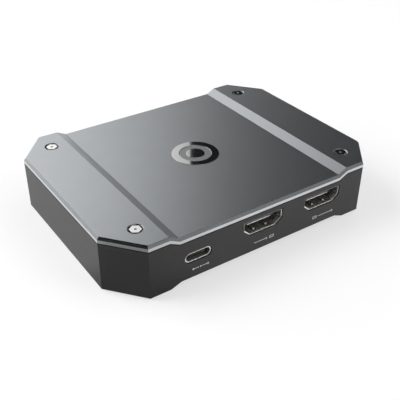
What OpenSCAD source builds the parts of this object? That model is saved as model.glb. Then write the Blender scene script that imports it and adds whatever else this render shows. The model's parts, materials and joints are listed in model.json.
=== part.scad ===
// Video capture box: a low octagonal case with a stepped metal cover, a data socket and two
// video sockets on the front, two audio sockets on the back, and the board that carries them.
// Millimetres. The feet stand on z = 0, the front face looks along -Y, the plan is centred on the origin.

/* [Case] */
// Length of the case along the front face
body_length = 100; // [92:1:120]
// Depth of the case from front to back
body_depth = 75.4; // [70:0.2:90]
// Height of the case without the feet
body_height = 18.3; // [17.8:0.1:24]
// Length taken off the front and back faces by each cut corner
corner_cut_x = 9.5; // [7:0.1:11]
// Length taken off the end faces by each cut corner
corner_cut_y = 11.5; // [8:0.1:13]
// Length of each end strip, from the end face to the ramp
end_strip = 16.5; // [15:0.1:18]
// Drop from the end strips to the middle panel
top_step = 1.6; // [0.8:0.1:2]
// Length of the ramp beside the middle panel
top_ramp = 3.2; // [2:0.1:5]
// Rise of the middle of the underside above its ends
bottom_step = 1.35; // [0.6:0.05:2]
// Length of the ramp on the underside
bottom_ramp = 3.5; // [2:0.1:5]
// Thickness of the tray's walls
wall = 2; // [1.6:0.1:2.4]
// Thickness of the tray's floor
floor_thickness = 1.8; // [1.5:0.1:2.2]

/* [Cover] */
// Thickness of the cover plate
cover_thickness = 1.85; // [1.7:0.05:2.2]
// Width of the cover's bevel, seen from above
bevel_run = 0.75; // [0.4:0.05:1.2]
// Height of the cover's bevel
bevel_rise = 0.85; // [0.4:0.05:1.2]
// Height of the groove between cover and tray
seam_height = 0.3; // [0.1:0.05:0.6]
// Depth of the groove between cover and tray
seam_depth = 0.3; // [0.1:0.05:0.8]
// Thickness of the locating lips under the cover
lip_thickness = 1.2; // [0.8:0.1:1.6]
// Height of the locating lips
lip_height = 1.2; // [0.6:0.1:1.3]
// Length of each locating lip
lip_length = 34; // [20:1:40]

/* [Cover mark] */
// Diameter of the ring let into the cover
mark_diameter = 16; // [10:0.5:24]
// Width of the ring
mark_ring = 2.6; // [1.5:0.1:4]
// Diameter of the dot inside the ring
mark_dot = 6.4; // [3:0.2:8]
// Depth of the recess that holds the ring and the dot
mark_recess = 0.4; // [0.2:0.05:0.7]
// Height of the ring and the dot above the panel
mark_proud = 0.15; // [0.05:0.05:0.4]

/* [Cover screws] */
// Distance of each screw from the end face
screw_inset_x = 10.9; // [9:0.1:12]
// Distance of each screw from the front or back face
screw_inset_y = 9.3; // [8.5:0.1:12]
// Thread diameter
screw_diameter = 2; // [1.6:0.1:2.2]
// Length below the head
screw_length = 5.5; // [4:0.5:8]
// Hexagon head across its flats
hex_across = 3.3; // [2.8:0.1:3.6]
// Height of the hexagon head
hex_height = 1.1; // [0.8:0.05:1.2]
// Diameter of the dimple in the head
dimple_diameter = 0.8; // [0.5:0.1:1.4]
// Depth of the dimple in the head
dimple_depth = 0.35; // [0.2:0.05:0.6]
// Diameter of the counterbore round the head
counterbore_diameter = 4.3; // [4.2:0.1:5.4]
// Size of the cut edge round the counterbore
counterbore_edge = 0.25; // [0.1:0.05:0.4]
// Depth of the head below the end strip
head_sink = 0.1; // [0:0.05:0.3]
// Diameter of the tray's corner bosses
boss_diameter = 6.4; // [5.4:0.2:7]
// Thickness of the rib between each boss and the wall
rib_thickness = 1.2; // [0.8:0.1:2]
// Outside diameter of the threaded inserts
insert_diameter = 3.4; // [3.2:0.1:3.8]
// Length of the threaded inserts
insert_length = 4; // [3:0.5:5]

/* [Feet] */
// Diameter of the rubber feet
foot_diameter = 9; // [6:0.5:11]
// Depth of the pocket that holds each foot
foot_recess = 0.6; // [0.3:0.1:0.9]
// Height of the feet below the case
foot_proud = 0.6; // [0.3:0.1:1.5]
// Distance of each foot from the end face
foot_inset_x = 8.6; // [7.5:0.1:9.5]
// Distance of each foot from the front or back face
foot_inset_y = 15.5; // [13:0.5:22]

/* [Board] */
// Height of the board's upper face above the case bottom
board_height = 6.9; // [6.7:0.05:7.2]
// Thickness of the board
board_thickness = 1.6; // [1:0.1:1.8]
// Gap between the board and the bosses, and between the board and the walls
board_gap = 0.5; // [0.3:0.1:0.8]
// Diameter of the standoffs under the board
standoff_diameter = 5; // [4.4:0.2:6]
// Distance of the board screws from the board's ends
board_screw_inset = 3.4; // [2.8:0.1:3.8]
// Distance of the front board screws from the front face
board_screw_front = 17.7; // [16.5:0.1:20]
// Distance of the back board screws from the back face
board_screw_back = 9.7; // [6:0.1:14]
// Length of the board screws below the board
board_screw_grip = 2.8; // [2:0.1:3]
// Head diameter of the board screws
board_screw_head = 3.8; // [3.4:0.1:4.4]
// Head height of the board screws
board_screw_head_height = 1.3; // [1:0.1:1.6]
// Width of the slots that cross in the heads of the board screws
cross_slot = 0.5; // [0.4:0.05:0.7]

/* [Sockets] */
// Depth of the socket mouths behind the outer faces
port_recess = 0.4; // [0:0.1:1]
// Width of the shell legs that pass through the board
leg_width = 1.2; // [0.8:0.1:1.4]
// Length of the shell legs below the board
leg_reach = 0.5; // [0.2:0.1:0.8]
// Thickness of the socket contacts
contact_thickness = 0.12; // [0.08:0.02:0.16]
// Length of the soldered foot of each contact
solder_foot = 0.6; // [0.4:0.1:0.8]

/* [Data socket] */
// Distance of the data socket from the left end of the case
data_inset = 25.9; // [24:0.1:30]
// Width of the mouth
data_width = 8.34; // [8.3:0.02:8.5]
// Height of the mouth
data_mouth = 2.56; // [2.5:0.02:2.7]
// Thickness of the shell
data_wall = 0.36; // [0.25:0.01:0.4]
// Length of the shell
data_depth = 7.4; // [7:0.1:9]
// Width of the tongue
data_tongue_width = 6.69; // [6.4:0.01:6.9]
// Thickness of the tongue
data_tongue = 0.7; // [0.6:0.02:0.8]
// Distance of the tongue's tip behind the mouth
data_setback = 1.1; // [0.8:0.1:2]
// Thickness of the block that closes the back of the shell
data_block = 2; // [1.5:0.1:2.6]
// Contacts in each of the two rows
data_contacts = 12; // [8:1:12]
// Spacing of the contacts
data_pitch = 0.5; // [0.45:0.01:0.52]
// Width of each contact
data_contact_width = 0.26; // [0.2:0.01:0.3]

/* [Video sockets] */
// Place of the video input from the middle of the front face
video_in_x = -0.4; // [-1:0.05:1]
// Distance of the video output from the right end of the case
video_out_inset = 26.65; // [26:0.05:30]
// Height of the socket's centre above the board
video_lift = 3.45; // [3.1:0.05:3.6]
// Width of the mouth
video_width = 14; // [13.9:0.05:14.2]
// Height of the mouth
video_mouth = 4.55; // [4.5:0.05:4.7]
// Width of the flat under the slanted lower corners
video_flat = 9.6; // [9.2:0.1:11]
// Height of the slanted lower corners
video_slant = 1.9; // [1:0.1:2.1]
// Thickness of the shell
video_wall = 0.3; // [0.2:0.01:0.35]
// Length of the shell
video_depth = 11; // [10.5:0.1:12]
// Width of the tongue
video_tongue_width = 11.2; // [10.6:0.1:11.8]
// Thickness of the tongue
video_tongue = 1.3; // [1:0.05:1.4]
// Height of the tongue above the middle of the mouth
video_tongue_lift = 0.3; // [0:0.05:0.4]
// Distance of the tongue's tip behind the mouth
video_setback = 2; // [1.8:0.1:3]
// Thickness of the block inside the back of the shell
video_block = 3; // [2:0.1:3.5]
// Thickness of the flange behind the shell
video_flange = 1.2; // [0.8:0.1:1.4]
// Width of the foot under the flange
video_foot = 13; // [11:0.1:13.5]
// Contacts in the longer row
video_contacts = 10; // [8:1:10]
// Spacing of the contacts in a row
video_pitch = 1; // [0.95:0.01:1.05]
// Width of each contact
video_contact_width = 0.3; // [0.2:0.02:0.4]
// Distance of the shell's springs from the middle
spring_x = 2.35; // [2:0.05:3]
// Width of each spring
spring_width = 1.1; // [0.8:0.1:1.6]
// Length of each spring
spring_length = 4.6; // [3:0.1:5]
// Distance of the springs' windows behind the mouth
spring_setback = 1; // [0.5:0.1:1.2]
// Distance of the springs' bend behind the front of their windows
spring_bend = 0.75; // [0.5:0.05:1]
// Reach of the springs into the mouth
spring_dip = 0.2; // [0.1:0.05:0.25]
// Width of the slot round each spring
spring_slot = 0.25; // [0.2:0.05:0.4]

/* [Audio sockets] */
// Spacing of the two audio sockets on the back
jack_spacing = 18; // [16:0.5:26]
// Diameter of the plug bore
jack_bore = 3.6; // [3.55:0.01:3.7]
// Width of the body
jack_width = 6.4; // [6:0.1:7]
// Height of the body
jack_height = 5; // [5:0.1:5.4]
// Length of the body
jack_length = 12.6; // [12:0.1:14]
// Thickness of the body behind the bore
jack_end = 1; // [0.6:0.1:1.5]
// Diameter of the nose in the back wall
jack_nose = 4.8; // [4.4:0.1:4.8]
// Distances of the springs from the body's front
jack_spring_places = [3.4, 6.8, 9.6]; // [2:0.1:11]
// Length of each window that holds a spring
jack_window = 2.8; // [2.4:0.1:3]
// Thickness of the springs
jack_spring = 0.25; // [0.2:0.01:0.3]
// Height of the springs
jack_spring_height = 1.5; // [1:0.1:1.8]

/* [Status light] */
// Diameter of the light pipe
pipe_diameter = 1.8; // [1.2:0.1:2.4]
// Diameter of the light pipe's flange
pipe_flange = 2.8; // [2.6:0.1:3.4]
// Width of the lamp
lamp_width = 3; // [2:0.1:4]
// Depth of the lamp
lamp_depth = 1.4; // [1:0.1:2]
// Height of the lamp
lamp_height = 2.4; // [1.8:0.1:2.8]

/* [Heat path] */
// Side of the processor's base
processor_side = 17; // [13:0.5:19]
// Height of the processor's base
processor_base = 0.6; // [0.4:0.1:0.9]
// Margin of the processor's base round its cap
processor_margin = 1.4; // [0.8:0.1:2]
// Height of the processor's cap
processor_cap = 0.9; // [0.5:0.1:1.2]
// Side of the heat block
block_side = 20; // [14:0.5:24]
// Size of the cut edges of the heat block
block_edge = 0.8; // [0.3:0.1:1.5]
// Thickness of each heat pad
pad_thickness = 0.5; // [0.3:0.1:1]
// Margin of the heat block round the upper pad
pad_margin = 1; // [0.5:0.1:2]

/* [Components] */
// Body side of the splitter chip
splitter_side = 9; // [7:0.5:10]
// Distance of the splitter chip from the middle of the video output
splitter_offset = 6.5; // [5:0.5:8]
// Leads on each side of the splitter chip
splitter_leads = 12; // [6:1:14]
// Spacing of the splitter chip's leads
splitter_pitch = 0.6; // [0.45:0.01:0.62]
// Length and width of a memory chip
memory_size = [9, 12]; // [8:0.5:12]
// Height of a memory chip
memory_height = 1; // [0.8:0.1:1.4]
// Gap between the memory chips, and half the gap between them and the heat block
memory_gap = 1.5; // [1:0.1:2]
// Body side of the audio codec
codec_side = 5; // [4:0.5:6]
// Distance of the audio codec from the right-hand audio socket
codec_offset = 8; // [6:0.5:10]
// Distance of the audio codec from the back edge of the board
codec_inset = 17; // [15:0.5:19]
// Length and width of the firmware chip's body
firmware_size = [4, 5]; // [3:0.1:6]
// Distance of the firmware chip from the right end of the board
firmware_inset = 15.4; // [14:0.1:17]
// Leads on each long side of the firmware chip
firmware_leads = 4; // [3:1:4]
// Spacing of the firmware chip's leads
firmware_pitch = 1.27; // [1.2:0.01:1.3]
// Height of the leaded chips
chip_height = 1.4; // [1:0.1:1.8]
// Gap under the leaded chips
chip_gap = 0.15; // [0.1:0.05:0.3]
// Width of the chip leads
lead_width = 0.3; // [0.2:0.02:0.4]
// Reach of the chip leads beside the body
lead_reach = 1.1; // [0.8:0.1:1.4]
// Size of a crystal's can
crystal_size = [3.2, 2.5, 0.8]; // [0.5:0.1:4]
// Gap between the crystals and the chips that they serve
crystal_gap = 3; // [2:0.1:4]
// Side of a power inductor
inductor_side = 4.4; // [3:0.1:5]
// Height of a power inductor
inductor_height = 2.4; // [1.5:0.1:4]
// Distance of the inductors and bulk capacitors from the ends of the board
power_inset = 5; // [4:0.1:6]
// Spacing of the inductors and bulk capacitors
power_pitch = 7; // [6:0.1:7.5]
// Number of power inductors
inductor_count = 3; // [2:1:3]
// Diameter of a bulk capacitor's can
can_diameter = 5; // [4:0.1:5.4]
// Height of a bulk capacitor
can_height = 5.4; // [4:0.1:5.8]
// Height of a bulk capacitor's square base
can_base = 0.8; // [0.5:0.1:1.2]
// Size of a chip capacitor
capacitor_size = [1.6, 0.8, 0.8]; // [0.4:0.1:2]
// Chip capacitors in each row beside the heat block
capacitor_count = 6; // [3:1:6]
// Spacing of the chip capacitors
capacitor_pitch = 3; // [2.4:0.1:3.2]
// Size of a surge protector
surge_size = [2.6, 1.2, 0.7]; // [0.5:0.1:3]
// Distance of the surge protectors from the middle of their socket
surge_offset = 3; // [2:0.1:4]
// Gap between the sockets' soldered feet and the surge protectors
surge_gap = 1.2; // [0.6:0.1:1.6]

/* [Clearances] */
// Gap between a socket and its opening in the case
panel_clearance = 0.15; // [0.1:0.05:0.3]
// Gap round fitted pins, inserts, feet and inlays
fit_clearance = 0.05; // [0.02:0.01:0.1]
// Gap between the cover's lips and the walls
lip_clearance = 0.15; // [0.1:0.05:0.4]
// Gap round the legs and tails in the board
hole_clearance = 0.15; // [0.1:0.05:0.2]

/* [Hidden] */
$fn = 48;
// Overshoot of cutting shapes
margin = 2;
// Overlap of shapes that are joined
joint = 0.3;

half_x = body_length / 2;
half_y = body_depth / 2;
strip_x = half_x - end_strip;

case_z = foot_proud;
top_z = case_z + body_height;
panel_z = top_z - top_step;
rim_z = top_z - cover_thickness;
rim_panel_z = rim_z - top_step;
floor_z = case_z + floor_thickness;
floor_panel_z = floor_z + bottom_step;
board_z = case_z + board_height;
board_under_z = board_z - board_thickness;
leg_end_z = board_under_z - leg_reach;

front_y = port_recess - half_y;
back_y = half_y - port_recess;
wall_y = half_y - wall;
board_x = half_x - screw_inset_x - boss_diameter / 2 - board_gap;
board_y = wall_y - board_gap;

data_z = board_z + data_mouth / 2 + data_wall;
video_z = board_z + video_lift;
data_x = data_inset - half_x;
video_out_x = half_x - video_out_inset;
video_xs = [video_in_x, video_out_x];
jack_z = board_z + jack_height / 2;
jack_xs = [-jack_spacing / 2, jack_spacing / 2];
lamp_z = board_z + lamp_height / 2;

head_z = top_z - head_sink - hex_height;
insert_z = rim_z - head_sink - insert_length;
screw_end_z = head_z - screw_length;
processor_z = board_z + processor_base + processor_cap;
block_z = processor_z + pad_thickness;
block_top_z = rim_panel_z - pad_thickness;
data_tail = data_depth + joint;
video_tail = video_depth + video_flange + fit_clearance;

surge_y = front_y + video_tail + solder_foot + surge_gap + surge_size.y / 2;
splitter_y = surge_y + surge_size.y / 2 + surge_gap + lead_reach + splitter_side / 2;
splitter_place = [video_out_x - splitter_offset, splitter_y];
memory_x = -block_side / 2 - 2 * memory_gap - memory_size.x / 2;
memory_places = [for (side = [-1, 1]) [memory_x, side * (memory_size.y + memory_gap) / 2]];
codec_place = [jack_xs[1] + codec_offset, board_y - codec_inset];
firmware_place = [board_x - firmware_inset, 0];
crystal_places = [
    [firmware_place.x + firmware_size.x / 2 + lead_reach + crystal_gap, 0],
    [jack_xs[0], block_side / 2 + crystal_gap + crystal_size.y]
];
power_x = board_x - power_inset;
inductor_places = [for (i = [1 : inductor_count]) [-power_x, (1 - i) * power_pitch]];
can_places = [[-power_x, power_pitch], [-power_x, 2 * power_pitch], [power_x, 2 * power_pitch]];

screw_places = [for (x = [-1, 1], y = [-1, 1]) [x * (half_x - screw_inset_x), y * (half_y - screw_inset_y)]];
foot_places = [for (x = [-1, 1], y = [-1, 1]) [x * (half_x - foot_inset_x), y * (half_y - foot_inset_y)]];
board_screw_places = [
    for (x = [-1, 1], y = [board_screw_front - half_y, half_y - board_screw_back])
        [x * (board_x - board_screw_inset), y]
];
data_leg_places = [for (y = [0.45, 0.8]) y * data_depth];
video_leg_places = [for (y = [0.35, 0.85]) y * video_depth];

cover_colour = "slategray";
tray_colour = [0.22, 0.23, 0.24];
steel_colour = "silver";
gold_colour = "goldenrod";
black_colour = [0.08, 0.08, 0.09];
board_colour = [0.12, 0.13, 0.13];
pad_colour = "lightsteelblue";

// Outlines

function reversed(points) = [for (i = [len(points) - 1 : -1 : 0]) points[i]];

// Normal of a path's direction, on its right-hand side
function right_normal(from, to) = [to.y - from.y, from.x - to.x] / norm(to - from);

// A closed counter-clockwise outline, moved out by a distance
function grown(points, distance) = [
    for (i = [0 : len(points) - 1])
        let (
            last = points[(i + len(points) - 1) % len(points)],
            next = points[(i + 1) % len(points)],
            a = right_normal(last, points[i]),
            b = right_normal(points[i], next)
        )
        points[i] + distance * (a + b) / (1 + a * b)
];

// Outline of a bent strip: a path, and the same path moved to its left by the thickness
function ribbon(path, thickness) = concat(path, reversed([
    for (i = [0 : len(path) - 1])
        let (
            a = right_normal(path[max(i - 1, 0)], path[max(i, 1)]),
            b = right_normal(path[min(i, len(path) - 2)], path[min(i + 1, len(path) - 1)])
        )
        path[i] - thickness * (a + b) / (1 + a * b)
]));

// Height line along the case: the end strips, the ramps and the middle panel
function stepped_line(end_z, middle_z, ramp) = [
    [-half_x - margin, end_z], [-strip_x, end_z], [ramp - strip_x, middle_z],
    [strip_x - ramp, middle_z], [strip_x, end_z], [half_x + margin, end_z]
];

case_outline = [
    [half_x - corner_cut_x, -half_y], [half_x, corner_cut_y - half_y],
    [half_x, half_y - corner_cut_y], [half_x - corner_cut_x, half_y],
    [corner_cut_x - half_x, half_y], [-half_x, half_y - corner_cut_y],
    [-half_x, corner_cut_y - half_y], [corner_cut_x - half_x, -half_y]
];

video_outline = [
    [-video_flat / 2, -video_mouth / 2], [video_flat / 2, -video_mouth / 2],
    [video_width / 2, video_slant - video_mouth / 2], [video_width / 2, video_mouth / 2],
    [-video_width / 2, video_mouth / 2], [-video_width / 2, video_slant - video_mouth / 2]
];

// Solids

// Prism of a plan outline between two heights
module upright(outline, low, high) {
    translate([0, 0, low]) linear_extrude(high - low) polygon(outline);
}

// Prism of an x-z outline from front to back
module along_y(outline, front, back) {
    translate([0, back, 0]) rotate([90, 0, 0]) linear_extrude(back - front) polygon(outline);
}

// Prism of a y-z outline from left to right
module along_x(outline, left, right) {
    translate([left, 0, 0]) rotate([90, 0, 90]) linear_extrude(right - left) polygon(outline);
}

// Box centred in x and y, standing on a height
module box(size, low) {
    translate([-size.x / 2, -size.y / 2, low]) cube(size);
}

// Round bar along y
module rod_y(diameter, front, back) {
    translate([0, front, 0]) rotate([-90, 0, 0]) cylinder(d = diameter, h = back - front);
}

// Solid between two stepped height lines, over the whole plan of the case
module stepped_slab(low_line, high_line, inset) {
    intersection() {
        along_y(concat(low_line, reversed(high_line)), -half_y - margin, half_y + margin);
        upright(grown(case_outline, -inset), -margin, top_z + margin);
    }
}

// Bar of the mouth shape of the data socket, moved out by a distance
module data_bar(distance, front, back) {
    height = data_mouth + 2 * distance;
    middle = data_width - data_mouth;
    for (side = [-1, 1]) translate([side * middle / 2, 0, 0]) rod_y(height, front, back);
    translate([-middle / 2, front, -height / 2]) cube([middle, back - front, height]);
}

module at_data() {
    translate([data_x, front_y, data_z]) children();
}

module at_video(x) {
    translate([x, front_y, video_z]) children();
}

module at_each(places) {
    for (place = places) translate([place.x, place.y, 0]) children();
}

// Cover

// Plan of the cover's edge, counter-clockwise from the left of the front: corners and ends of ramps
function cover_ring(inset) =
    let (
        corners = grown(case_outline, -inset),
        kinks = [-strip_x, top_ramp - strip_x, strip_x - top_ramp, strip_x],
        edge = half_y - inset
    )
    concat(
        [corners[7]], [for (x = kinks) [x, -edge]], [for (i = [0 : 3]) corners[i]],
        [for (x = reversed(kinks)) [x, edge]], [for (i = [4 : 6]) corners[i]]
    );

// That edge in space: the end strips at one height, and the middle panel a step lower
function cover_loop(inset, end_z) = [
    for (p = cover_ring(inset))
        [p.x, p.y, abs(p.x) < strip_x - top_ramp / 2 ? end_z - top_step : end_z]
];

// Plate between three loops: its lower edge, the foot of the bevel and the top of the bevel
module cover_plate() {
    ring = len(cover_ring(0));
    strips = [[0, 1, 12, 13, 14, 15], [1, 2, 11, 12], [2, 3, 10, 11], [3, 4, 9, 10], [4, 5, 6, 7, 8, 9]];
    sides = [
        for (level = [0, ring], i = [0 : ring - 1])
            let (next = (i + 1) % ring)
            [level + i, level + ring + i, level + ring + next, level + next]
    ];
    upper_strips = [for (strip = strips) [for (i = reversed(strip)) 2 * ring + i]];
    polyhedron(
        concat(cover_loop(0, rim_z), cover_loop(0, top_z - bevel_rise), cover_loop(bevel_run, top_z)),
        concat(strips, sides, upper_strips)
    );
}

module cover_lips() {
    inset = wall + lip_clearance + lip_thickness;
    for (turn = [0, 180]) rotate(turn) {
        translate([-lip_length / 2, half_y - inset, rim_panel_z - lip_height])
            cube([lip_length, lip_thickness, lip_height + joint]);
        translate([half_x - inset, -lip_length / 2, rim_z - lip_height])
            cube([lip_thickness, lip_length, lip_height + joint]);
    }
}

module mark_pocket() {
    translate([0, 0, panel_z - mark_recess]) {
        difference() {
            cylinder(d = mark_diameter + 2 * fit_clearance, h = mark_recess + margin);
            translate([0, 0, -margin])
                cylinder(d = mark_diameter - 2 * mark_ring - 2 * fit_clearance, h = mark_recess + 3 * margin);
        }
        cylinder(d = mark_dot + 2 * fit_clearance, h = mark_recess + margin);
    }
}

module top_cover() {
    color(cover_colour) difference() {
        union() {
            cover_plate();
            cover_lips();
        }
        mark_pocket();
        at_each(screw_places) {
            translate([0, 0, head_z]) cylinder(d = counterbore_diameter, h = hex_height + margin);
            translate([0, 0, top_z - counterbore_edge]) cylinder(
                d1 = counterbore_diameter, d2 = counterbore_diameter + 4 * counterbore_edge,
                h = 2 * counterbore_edge
            );
            translate([0, 0, rim_z - margin])
                cylinder(d = screw_diameter + 2 * hole_clearance, h = cover_thickness + margin);
        }
    }
}

module cover_mark() {
    low = panel_z - mark_recess;
    high = panel_z + mark_proud;
    outer = mark_diameter / 2;
    inner = outer - mark_ring;
    edge = mark_proud / 2;
    color(steel_colour) {
        rotate_extrude() polygon([
            [inner, low], [outer, low], [outer, high - edge], [outer - edge, high],
            [inner + edge, high], [inner, high - edge]
        ]);
        rotate_extrude() polygon([
            [0, low], [mark_dot / 2, low], [mark_dot / 2, high - edge], [mark_dot / 2 - edge, high],
            [0, high]
        ]);
    }
}

module cover_screws() {
    half = hex_across / 2;
    corner = half / cos(30);
    tip = screw_diameter / 4;
    color(steel_colour) at_each(screw_places) difference() {
        union() {
            upright([
                [half, -corner / 2], [half, corner / 2], [0, corner],
                [-half, corner / 2], [-half, -corner / 2], [0, -corner]
            ], head_z, head_z + hex_height);
            rotate_extrude() polygon([
                [0, screw_end_z], [screw_diameter / 2 - tip, screw_end_z],
                [screw_diameter / 2, screw_end_z + tip], [screw_diameter / 2, head_z + joint],
                [0, head_z + joint]
            ]);
        }
        translate([0, 0, head_z + hex_height - dimple_depth])
            cylinder(d = dimple_diameter, h = dimple_depth + margin);
    }
}

module threaded_inserts() {
    outer = insert_diameter / 2;
    bore = screw_diameter / 2 + fit_clearance;
    waist = (outer + bore) / 2;
    step = insert_length / 5;
    color(gold_colour) at_each(screw_places) translate([0, 0, insert_z]) rotate_extrude() polygon([
        [bore, 0], [waist, 0], [waist, step], [outer, step], [outer, 2 * step], [waist, 2 * step],
        [waist, 3 * step], [outer, 3 * step], [outer, insert_length], [bore, insert_length]
    ]);
}

// Tray

// Outer block of the tray, inset from the case outline and ending below the cover by a drop
module tray_block(low_line, inset, drop) {
    stepped_slab(low_line, stepped_line(rim_z - drop, rim_panel_z - drop, top_ramp), inset);
}

module tray_shell() {
    bottom = stepped_line(case_z, case_z + bottom_step, bottom_ramp);
    floor_line = stepped_line(floor_z, floor_panel_z, bottom_ramp);
    difference() {
        union() {
            tray_block(bottom, 0, seam_height);
            tray_block(floor_line, seam_depth, 0);
        }
        stepped_slab(floor_line, stepped_line(top_z, top_z, top_ramp), wall);
    }
}

// Corner boss with a rib to the cut corner of the wall
module tray_bosses() {
    for (x = [0, 1], y = [0, 1]) mirror([x, 0, 0]) mirror([0, y, 0]) {
        place = [half_x - screw_inset_x, half_y - screw_inset_y, case_z + floor_thickness / 2];
        facing = [corner_cut_y, corner_cut_x] / norm([corner_cut_x, corner_cut_y]);
        to_face = [screw_inset_x - corner_cut_x, screw_inset_y] * facing;
        translate(place) {
            cylinder(d = boss_diameter, h = rim_z - place.z);
            rotate(atan2(facing.y, facing.x)) translate([0, -rib_thickness / 2, 0])
                cube([to_face - wall / 2, rib_thickness, rim_z - place.z - lip_height - cover_thickness]);
        }
    }
}

module tray_standoffs() {
    low = case_z + bottom_step + floor_thickness / 2;
    at_each(board_screw_places) translate([0, 0, low])
        cylinder(d = standoff_diameter, h = board_under_z - low);
}

module front_openings() {
    at_data() data_bar(data_wall + panel_clearance, -margin, wall + margin);
    for (x = video_xs) at_video(x)
        along_y(grown(video_outline, video_wall + panel_clearance), -margin, wall + margin);
}

module back_openings() {
    for (x = jack_xs) translate([x, 0, jack_z])
        rod_y(jack_nose + 2 * panel_clearance, wall_y - joint, half_y + margin);
    translate([0, 0, lamp_z]) rod_y(pipe_diameter + 2 * fit_clearance, wall_y - joint, half_y + margin);
}

module base_tray() {
    color(tray_colour) difference() {
        union() {
            tray_shell();
            tray_bosses();
            tray_standoffs();
        }
        front_openings();
        back_openings();
        at_each(screw_places) {
            translate([0, 0, insert_z])
                cylinder(d = insert_diameter + 2 * fit_clearance, h = insert_length + margin);
            translate([0, 0, screw_end_z - joint])
                cylinder(d = screw_diameter + 2 * hole_clearance, h = insert_z - screw_end_z + 2 * joint);
        }
        at_each(board_screw_places) translate([0, 0, board_under_z - board_screw_grip - joint])
            cylinder(d = screw_diameter + 2 * fit_clearance, h = board_screw_grip + margin);
        at_each(foot_places) translate([0, 0, case_z - margin])
            cylinder(d = foot_diameter + 2 * fit_clearance, h = foot_recess + margin);
    }
}

module rubber_feet() {
    radius = foot_diameter / 2;
    edge = foot_proud / 2;
    color(black_colour) at_each(foot_places) rotate_extrude() polygon([
        [0, 0], [radius - edge, 0], [radius, edge], [radius, foot_proud + foot_recess],
        [0, foot_proud + foot_recess]
    ]);
}

// Board

// Hole for a flat leg that stands with its long side along y
module leg_hole(thickness, width) {
    box([thickness + 2 * hole_clearance, width + 2 * hole_clearance, board_thickness + 2 * margin],
        board_under_z - margin);
}

module main_board() {
    color(board_colour) difference() {
        box([2 * board_x, 2 * board_y, board_thickness], board_under_z);
        at_each(board_screw_places) translate([0, 0, board_under_z - margin])
            cylinder(d = screw_diameter + 2 * hole_clearance, h = board_thickness + 2 * margin);
        for (side = [-1, 1]) {
            for (y = data_leg_places)
                translate([data_x + side * (data_width + data_wall) / 2, front_y + y, 0])
                    leg_hole(data_wall, leg_width);
            for (x = video_xs, y = video_leg_places)
                translate([x + side * (video_width + video_wall) / 2, front_y + y, 0])
                    leg_hole(video_wall, leg_width);
        }
        for (x = jack_xs, i = [0 : len(jack_spring_places) - 1])
            translate([x, 0, 0]) jack_side(i) translate([
                jack_width / 2 + fit_clearance + jack_spring / 2,
                board_y - jack_spring_places[i] - jack_window / 2 + leg_width / 2 + hole_clearance, 0
            ]) leg_hole(jack_spring, leg_width);
    }
}

module board_screws() {
    low = board_under_z - board_screw_grip;
    head = board_screw_head / 2;
    color(steel_colour) at_each(board_screw_places) difference() {
        rotate_extrude() polygon([
            [0, low], [screw_diameter / 2, low], [screw_diameter / 2, board_z], [head, board_z],
            [head, board_z + board_screw_head_height / 2],
            [head - joint, board_z + board_screw_head_height], [0, board_z + board_screw_head_height]
        ]);
        for (turn = [0, 90]) rotate(turn)
            box([board_screw_head * 2 / 3, cross_slot, board_screw_head_height],
                board_z + board_screw_head_height / 2);
    }
}

// Legs of a socket shell, down each side wall and through the board
module shell_legs(width, thickness, places, height) {
    for (side = [-1, 1], y = places)
        translate([side * (width + thickness) / 2, y, 0])
            box([thickness, leg_width, height - leg_end_z], leg_end_z - height);
}

// One contact: along the tongue, out of the back, down to the board, and its soldered foot
module contact(width, row_z, tip, tail, height) {
    along_x(ribbon([
        [tip, row_z], [tail, row_z], [tail, board_z - height], [tail + solder_foot, board_z - height]
    ], contact_thickness), -width / 2, width / 2);
}

// Slot for one contact in the plastic behind the tongue
module contact_slot(width, row_z, front, back) {
    translate([-width / 2 - fit_clearance / 2, front, row_z - fit_clearance / 2])
        cube([width + fit_clearance, back - front, contact_thickness + fit_clearance]);
}

// Data socket

// Runs its child for each contact: the upper row ends behind the lower one
module each_data_contact() {
    for (i = [0 : data_contacts - 1], $upper = [0, 1]) {
        $row_z = $upper ? data_tongue / 2 : -data_tongue / 2 - contact_thickness;
        translate([(i - (data_contacts - 1) / 2) * data_pitch, 0, 0]) children();
    }
}

module data_port_shell() {
    color(steel_colour) at_data() {
        difference() {
            data_bar(data_wall, 0, data_depth);
            data_bar(0, -margin, data_depth + margin);
        }
        shell_legs(data_width, data_wall, data_leg_places, data_z);
    }
}

module data_port_tongue() {
    color(black_colour) at_data() difference() {
        union() {
            translate([-data_tongue_width / 2, data_setback, -data_tongue / 2])
                cube([data_tongue_width, data_depth - data_setback, data_tongue]);
            data_bar(-fit_clearance, data_depth - data_block, data_depth);
        }
        each_data_contact()
            contact_slot(data_contact_width, $row_z, data_depth - data_block - joint, data_depth + margin);
    }
}

module data_port_contacts() {
    tip = data_setback + joint;
    color(gold_colour) at_data() each_data_contact()
        contact(data_contact_width, $row_z, tip, data_tail + $upper * 2 * solder_foot, data_z);
}

// Video sockets

// Runs its child for each contact: the lower row has one fewer and lies between the upper ones
module each_video_contact() {
    for ($upper = [0, 1]) {
        count = video_contacts - 1 + $upper;
        offset_z = $upper ? video_tongue / 2 : -video_tongue / 2 - contact_thickness;
        $row_z = video_tongue_lift + offset_z;
        for (i = [0 : count - 1]) translate([(i - (count - 1) / 2) * video_pitch, 0, 0]) children();
    }
}

// Runs its child for each of the four springs in the upper and lower walls of a shell
module each_spring() {
    for (side = [-1, 1], upper = [0, 1]) mirror([0, 0, upper]) translate([side * spring_x, 0, 0]) children();
}

// Bent spring that grows out of the lower wall of a shell
module shell_spring() {
    root = spring_setback + spring_length;
    inside = -video_mouth / 2;
    along_x(ribbon([
        [root + joint, inside], [root, inside], [spring_setback + spring_bend, inside + spring_dip],
        [spring_setback + spring_slot, inside + spring_dip / 2]
    ], video_wall), -spring_width / 2, spring_width / 2);
}

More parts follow.
